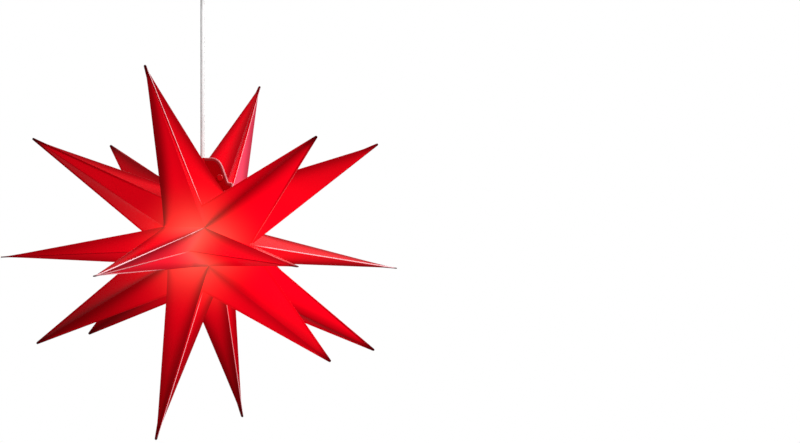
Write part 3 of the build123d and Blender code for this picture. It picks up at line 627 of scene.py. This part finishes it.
# ---- finishes ---------------------------------------------------------------------------------
class Finish:
    """A material's nodes, made with short calls."""

    def __init__(self, name):
        self.material = bpy.data.materials.new(name)
        self.material.use_nodes = True
        self.tree = self.material.node_tree
        self.shader = self.tree.nodes["Principled BSDF"]

    def set(self, **values):
        """Plain numbers on the shader's own sockets, spaces in their names written as _."""
        for key, value in values.items():
            self.shader.inputs[key.replace("_", " ")].default_value = value
        return self

    def wire(self, source, name):
        """A link to one of the shader's own sockets."""
        self.tree.links.new(source, self.shader.inputs[name])

    def node(self, kind, **settings):
        """A node with its settings."""
        made = self.tree.nodes.new(kind)
        for key, value in settings.items():
            setattr(made, key, value)
        return made

    def feed(self, socket, value):
        """A socket's value, or the link that feeds it."""
        if isinstance(value, bpy.types.NodeSocket):
            self.tree.links.new(value, socket)
        else:
            socket.default_value = value

    def math(self, operation, a, b):
        """Two numbers made one."""
        made = self.node("ShaderNodeMath", operation=operation)
        self.feed(made.inputs[0], a)
        self.feed(made.inputs[1], b)
        return made.outputs[0]

    def times(self, a, b):
        """The product of two numbers."""
        return self.math("MULTIPLY", a, b)

    def weighted(self, total, *terms):
        """A number, and the sum of others, each times its weight, on top of it."""
        for value, weight in terms:
            total = self.math("ADD", total, self.times(value, weight))
        return total

    def mix(self, share, a, b):
        """A colour between a and b."""
        made = self.node("ShaderNodeMix", data_type="RGBA")
        self.feed(made.inputs["Factor"], share)
        self.feed(made.inputs[6], a)
        self.feed(made.inputs[7], b)
        return made.outputs[2]

    def cloud(self, scale, detail, to_low=0.0, to_high=1.0):
        """Cloudy noise, its middle stretched from one value to another."""
        made = self.node("ShaderNodeMapRange")
        self.feed(made.inputs[0], self.noise(scale, detail))
        for k, limit in enumerate((NOISE_LOW, NOISE_HIGH, to_low, to_high)):
            made.inputs[k + 1].default_value = limit
        return made.outputs[0]

    def mark(self, name):
        """A number kept per point of the mesh."""
        return self.node("ShaderNodeAttribute", attribute_name=name).outputs["Fac"]

    def noise(self, scale, detail):
        """Cloudy noise from 0 to 1 over the place on the piece, scale clouds to a metre."""
        made = self.node("ShaderNodeTexNoise")
        place_on = self.node("ShaderNodeTexCoord").outputs["Object"]
        self.feed(made.inputs["Vector"], place_on)
        made.inputs["Scale"].default_value = scale
        made.inputs["Detail"].default_value = detail
        made.inputs["Roughness"].default_value = 0.5
        return made.outputs["Fac"]

    def bump(self, height, strength, distance):
        """A relief on the shader's normal."""
        made = self.node("ShaderNodeBump")
        made.inputs["Strength"].default_value = strength
        made.inputs["Distance"].default_value = distance
        self.feed(made.inputs["Height"], height)
        self.wire(made.outputs[0], "Normal")


def red_sheet():
    """Almost matt translucent red sheet, lit from inside: painted shade along pressed creases and
    at the tips, darker welds with painted highlights, and as emission the lamp's glow and a painted
    sheen, from the leaves' own marks."""
    f = Finish("red_sheet").set(Specular_IOR_Level=0.012, Emission_Strength=1.0)
    band, weld, tip, pale = (f.mark(name) for name in ("band", "weld", "tip", "pale"))
    base = f.mix(f.cloud(14.0, 3.0), SHEET_RED, SHEET_CLOUD)
    # Painted shade of creases and tips, the welds' darker red, and painted highlights.
    for share, colour in ((f.times(band, CREASE_SHADE_DEEP), CREASE_SHADE_RED),
                          (f.times(weld, WELD_DEEP), WELD_RED),
                          (f.times(tip, TIP_SHADE_DEEP), TIP_SHADE_RED), (pale, HIGHLIGHT_PINK)):
        base = f.mix(share, base, colour)
    f.wire(base, "Base Color")
    f.wire(f.cloud(60.0, 2.0, 0.21, 0.25), "Roughness")
    # The share of glow and sheen left where painted shade lies on creases and tips.
    unshaded_share = f.times(f.math("SUBTRACT", 1.0, f.times(band, CREASE_SHADE_DEEP)),
                          f.math("SUBTRACT", 1.0, tip))
    glow, painted_sheen = f.times(f.mark("glow"), unshaded_share), f.times(f.mark("painted_sheen"), unshaded_share)
    warmth = f.mark("warmth")
    # Emission, all painted light: the glow dimmed by the painted shade, its warmer tint near the
    # lamp, the painted sheen and the painted highlights.
    light = f.node("ShaderNodeCombineColor")
    f.feed(light.inputs["Red"], f.weighted(glow, (pale, 0.30)))
    f.feed(light.inputs["Green"],
           f.weighted(f.times(warmth, 0.095), (painted_sheen, 0.10), (pale, 0.20)))
    f.feed(light.inputs["Blue"],
           f.weighted(f.times(warmth, 0.055), (glow, 0.010), (painted_sheen, 0.19), (pale, 0.22)))
    f.wire(light.outputs[0], "Emission Color")
    f.bump(f.noise(26.0, 1.0), 0.06, 0.002)
    return f.material


def plain(name, colour, roughness, specular=0.5, metallic=0.0, **more):
    """A moulded or pressed finish: a little cloud in its colour, and a fine grain."""
    f = Finish(name).set(Specular_IOR_Level=specular, Metallic=metallic, **more)
    dark = tuple(c * (1 - CLOUD_DARK) for c in colour) + (1,)
    f.wire(f.mix(f.cloud(CLOUD_SCALE, 3.0), colour + (1,), dark), "Base Color")
    f.wire(f.cloud(SMEAR_SCALE, 2.0, roughness - SMEAR_LESS, roughness + SMEAR_MORE), "Roughness")
    f.bump(f.noise(GRAIN_SCALE, 2.0), GRAIN_SHARE, GRAIN_DEPTH)
    return f.material


METAL = {"metallic": 1.0}
LIT = {"Emission_Color": (1.0, 0.8, 0.55, 1), "Emission_Strength": 2.0}
# Finish, colour, roughness, what else it has, and the CAD nodes that wear it.
FINISHES = (
    ("red_stud", (0.55, 0.002, 0.006), 0.22, {}, ("stud_caps", "stud_sockets")),
    ("zinc_steel", (0.62, 0.62, 0.60), 0.32, METAL, ("ceiling_bar", "grip_screw", "clamp_screw")),
    ("white_plastic", (0.86, 0.86, 0.85), 0.30, {},
     ("canopy_cup", "holder_cap", "holder_skirt", "cord_clamp", "terminal_block")),
    ("clear_plastic", (0.80, 0.80, 0.77), 0.35, {}, ("cord_grip",)),
    ("brass", (0.78, 0.55, 0.22), 0.28, METAL,
     ("threaded_tube", "lock_nuts", "terminal_screws", "screw_shell", "centre_contact")),
    ("core_insulation", (0.35, 0.16, 0.08), 0.45, {}, ("upper_cores", "holder_cores")),
    ("carrier_ceramic", (0.80, 0.78, 0.73), 0.6, {}, ("contact_carrier",)),
    ("lamp_plastic", (0.82, 0.82, 0.80), 0.4, {}, ("lamp_housing",)),
    ("lamp_nickel", (0.70, 0.70, 0.70), 0.25, METAL, ("lamp_base",)),
    ("lamp_eyelet", (0.02, 0.02, 0.02), 0.2, {}, ("lamp_eyelet",)),
    ("frosted_globe", (0.95, 0.90, 0.80), 0.5, LIT, ("lamp_globe",)),
)


def dress(material, *names):
    """Gives CAD nodes their finish."""
    for name in names:
        node = nodes[name]
        if not node.material_slots:
            node.data.materials.append(material)
        for worn in node.material_slots:
            worn.material = material


# ---- camera, cord, flaps ----------------------------------------------------------------------
def aimed(made, where, toward):
    """An object put at a place and turned to look along a line."""
    made.location = where
    made.rotation_mode = "QUATERNION"
    made.rotation_quaternion = toward.to_track_quat("-Z", "Y")


def camera():
    """Level camera 2.32 m from the star, 28 degrees to its right, framed as the photograph."""
    data = bpy.data.cameras.new("camera")
    data.lens, data.sensor_width = LENS, SENSOR
    data.shift_x, data.shift_y = SHIFT_X, SHIFT_Y
    data.clip_end = 50.0
    made = linked("camera", data)
    aimed(made, Vector((0, 0, -DROP * MM)) + CAMERA_FROM * CAMERA_AWAY, -CAMERA_FROM)
    bpy.context.scene.camera = made


def cord_line():
    """Points of the taut cord's own spline, straight down from the grip into the lampholder."""
    curve = bpy.data.curves.new("cord_line", "CURVE")
    curve.dimensions = "3D"
    spline = curve.splines.new("NURBS")
    stops = np.linspace(CORD_TOP, CORD_LOW, CORD_STOPS)
    spline.points.add(len(stops) - 1)
    for point, z in zip(spline.points, stops):
        point.co = (0, 0, z * MM, 1)
    spline.order_u = 3
    spline.use_endpoint_u = True
    spline.resolution_u = 12
    line = linked("cord_line", curve)
    bpy.context.view_layer.update()
    read = bpy.data.meshes.new_from_object(line)
    points = np.array([v.co for v in read.vertices]) / MM
    bpy.data.objects.remove(line)
    bpy.data.meshes.remove(read)
    bpy.data.curves.remove(curve)
    return points[np.argsort(-points[:, 2])]


def cord():
    """The white cord: a round profile carried down its line, domed at its upper end, which sits
    in the grip's mouth."""
    path = cord_line()
    around = np.linspace(0, 2 * np.pi, CORD_SIDES + 1)[:-1]
    lift = np.linspace(np.pi / 2, 0, DOME_RINGS + 1)[:-1]
    z = np.concatenate([path[0, 2] + CORD_R * np.sin(lift), path[:, 2], path[-1:, 2]])
    r = np.concatenate([CORD_R * np.cos(lift), np.full(len(path), CORD_R), [0.0]])
    points = np.stack([r[:, None] * np.cos(around), r[:, None] * np.sin(around),
                       np.repeat(z[:, None], len(around), 1)], -1)
    faces = grid_faces(len(z), len(around), ring=True)
    mesh = mesh_of("cord_sheath", points.reshape(-1, 3), faces)
    made = piece("white_cord", mesh, None, "cord_sheath", "cord", "cord_bend")
    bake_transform(made)
    return made


def flap_outline():
    """Half widths of a flap and their heights: its ears, its sides drawing in from FLAP_FOOT to
    FLAP_HEAD, and the round corner at its head, walked up one side."""
    slope = (FLAP_FOOT - FLAP_HEAD) / (FLAP_TOP - FLAP_FOOT_Z)
    turn = np.pi / 2 - np.arctan(slope)
    arc = np.linspace(0, turn, HEM_ARC)
    centre_x = FLAP_HEAD - FLAP_CORNER * np.tan(turn / 2)
    side_angle = np.pi / 2 - turn
    corner = np.stack([centre_x + FLAP_CORNER * np.cos(side_angle + arc),
                       FLAP_TOP - FLAP_CORNER + FLAP_CORNER * np.sin(side_angle + arc)], -1)
    step_x = FLAP_FOOT - slope * (EAR_TOP - FLAP_FOOT_Z)
    ear = np.array([[EAR, FLAP_FOOT_Z + EAR_STEP], [EAR, EAR_TOP - EAR_CUT],
                    [EAR - EAR_CUT, EAR_TOP], [step_x + EAR_STEP, EAR_TOP],
                    [step_x, EAR_TOP + EAR_STEP]])
    return np.concatenate([ear, corner])


def flap_hem(name, body, side):
    """The welded hem on a flap's outer face: a strip that follows the outline, its height over
    the face a rounded lip across the strip, with a painted highlight across that lip."""
    right = flap_outline()
    path = np.concatenate([right, right[::-1] * [-1, 1]])
    steps = np.linspace(0, 1, HEM_STEPS + 1)[:-1, None]
    runs = [a + (b - a) * steps for a, b in zip(path[:-1], path[1:])]
    path = np.concatenate(runs + [path[-1:]])
    run = np.gradient(path, axis=0)
    inward = unit(np.stack([-run[:, 1], run[:, 0]], -1))
    spots = path[:, None, :] + inward[:, None, :] * HEM_ACROSS[:, None]
    y = side * (FLAP_FACE + np.broadcast_to(HEM_PROUD, spots.shape[:2]))
    points = hung(spots[..., 0], y, spots[..., 1])
    faces = [grid_faces(*y.shape, ring=True), HEM_CAP, HEM_CAP + y.size - y.shape[1]]
    mesh = mesh_of(name, points.reshape(-1, 3), np.concatenate(faces),
                   marks={"pale": np.tile(HEM_HIGHLIGHT, len(path))})
    return piece(name, mesh, body, "red_sheet")


camera()
white_cord = cord()
sheet = red_sheet()
for number in range(1, LEAVES + 1):
    name = "leaf_%02d" % number
    made = piece(name + "_sheet", leaf(number), "star", "red_sheet", name)
    made.data.materials.append(sheet)
for name, body, side in (("flap_front_hem", "front_flap", -1), ("flap_back_hem", "back_flap", 1)):
    flap_hem(name, body, side).data.materials.append(sheet)

sheath = plain("cord_sheath", (0.70, 0.70, 0.70), 0.45, specular=0.3)
white_cord.data.materials.append(sheath)
dress(sheath, "cord_upper")
dress(sheet, "flap_front", "flap_back")
for name, colour, roughness, more, wearers in FINISHES:
    dress(plain(name, colour, roughness, **more), *wearers)


# ---- studio -----------------------------------------------------------------------------------
def lamp(name, azimuth, elevation, distance, size, power):
    """A square soft light aimed at the star's middle, from an azimuth to the right of its front
    and an elevation over it."""
    data = bpy.data.lights.new(name, "AREA")
    data.size, data.energy = size, power
    a, e = np.radians(azimuth), np.radians(elevation)
    where = Vector((distance * np.sin(a) * np.cos(e), -distance * np.cos(a) * np.cos(e),
                    distance * np.sin(e) - DROP * MM))
    aimed(linked(name, data), where, Vector((0, 0, -DROP * MM)) - where)


def surroundings():
    """White for the camera, glass and gloss, and a lower level for shading: the sum of each kind
    of ray times its strength."""
    world = bpy.data.worlds.new("studio")
    bpy.context.scene.world = world
    world.use_nodes = True
    tree = world.node_tree
    back = tree.nodes["Background"]
    back.inputs["Color"].default_value = (1, 1, 1, 1)
    path = tree.nodes.new("ShaderNodeLightPath")
    level = None
    for ray, strength in (("Is Camera Ray", 1.0), ("Is Transmission Ray", 1.0),
                          ("Is Diffuse Ray", AMBIENT), ("Is Glossy Ray", GLOSS)):
        share = tree.nodes.new("ShaderNodeMath")
        share.operation = "MULTIPLY_ADD"
        tree.links.new(path.outputs[ray], share.inputs[0])
        share.inputs[1].default_value = strength
        share.inputs[2].default_value = 0.0
        if level:
            tree.links.new(level, share.inputs[2])
        level = share.outputs[0]
    tree.links.new(level, back.inputs["Strength"])


def floor():
    """A pale floor 4 m down, shaded by the lamps, and nearly white to the camera."""
    mesh = bpy.data.meshes.new("floor")
    corners = [(x * FLOOR_HALF, y * FLOOR_HALF, FLOOR_Z) for x, y in
               ((-1, -1), (1, -1), (1, 1), (-1, 1))]
    mesh.from_pydata(corners, [], [(0, 1, 2, 3)])
    f = Finish("floor").set(Base_Color=(0.9, 0.9, 0.9, 1), Roughness=0.7)
    camera_ray = f.node("ShaderNodeLightPath").outputs["Is Camera Ray"]
    blend = f.node("ShaderNodeMixShader")
    f.feed(blend.inputs[0], f.times(camera_ray, FLOOR_WHITE))
    f.feed(blend.inputs[1], f.shader.outputs[0])
    f.feed(blend.inputs[2], f.node("ShaderNodeEmission").outputs[0])
    f.feed(f.tree.nodes["Material Output"].inputs["Surface"], blend.outputs[0])
    mesh.materials.append(f.material)
    linked("floor", mesh)


surroundings()
for settings in LAMPS:
    lamp(*settings)
floor()
bpy.context.scene.view_settings.view_transform = "Standard"
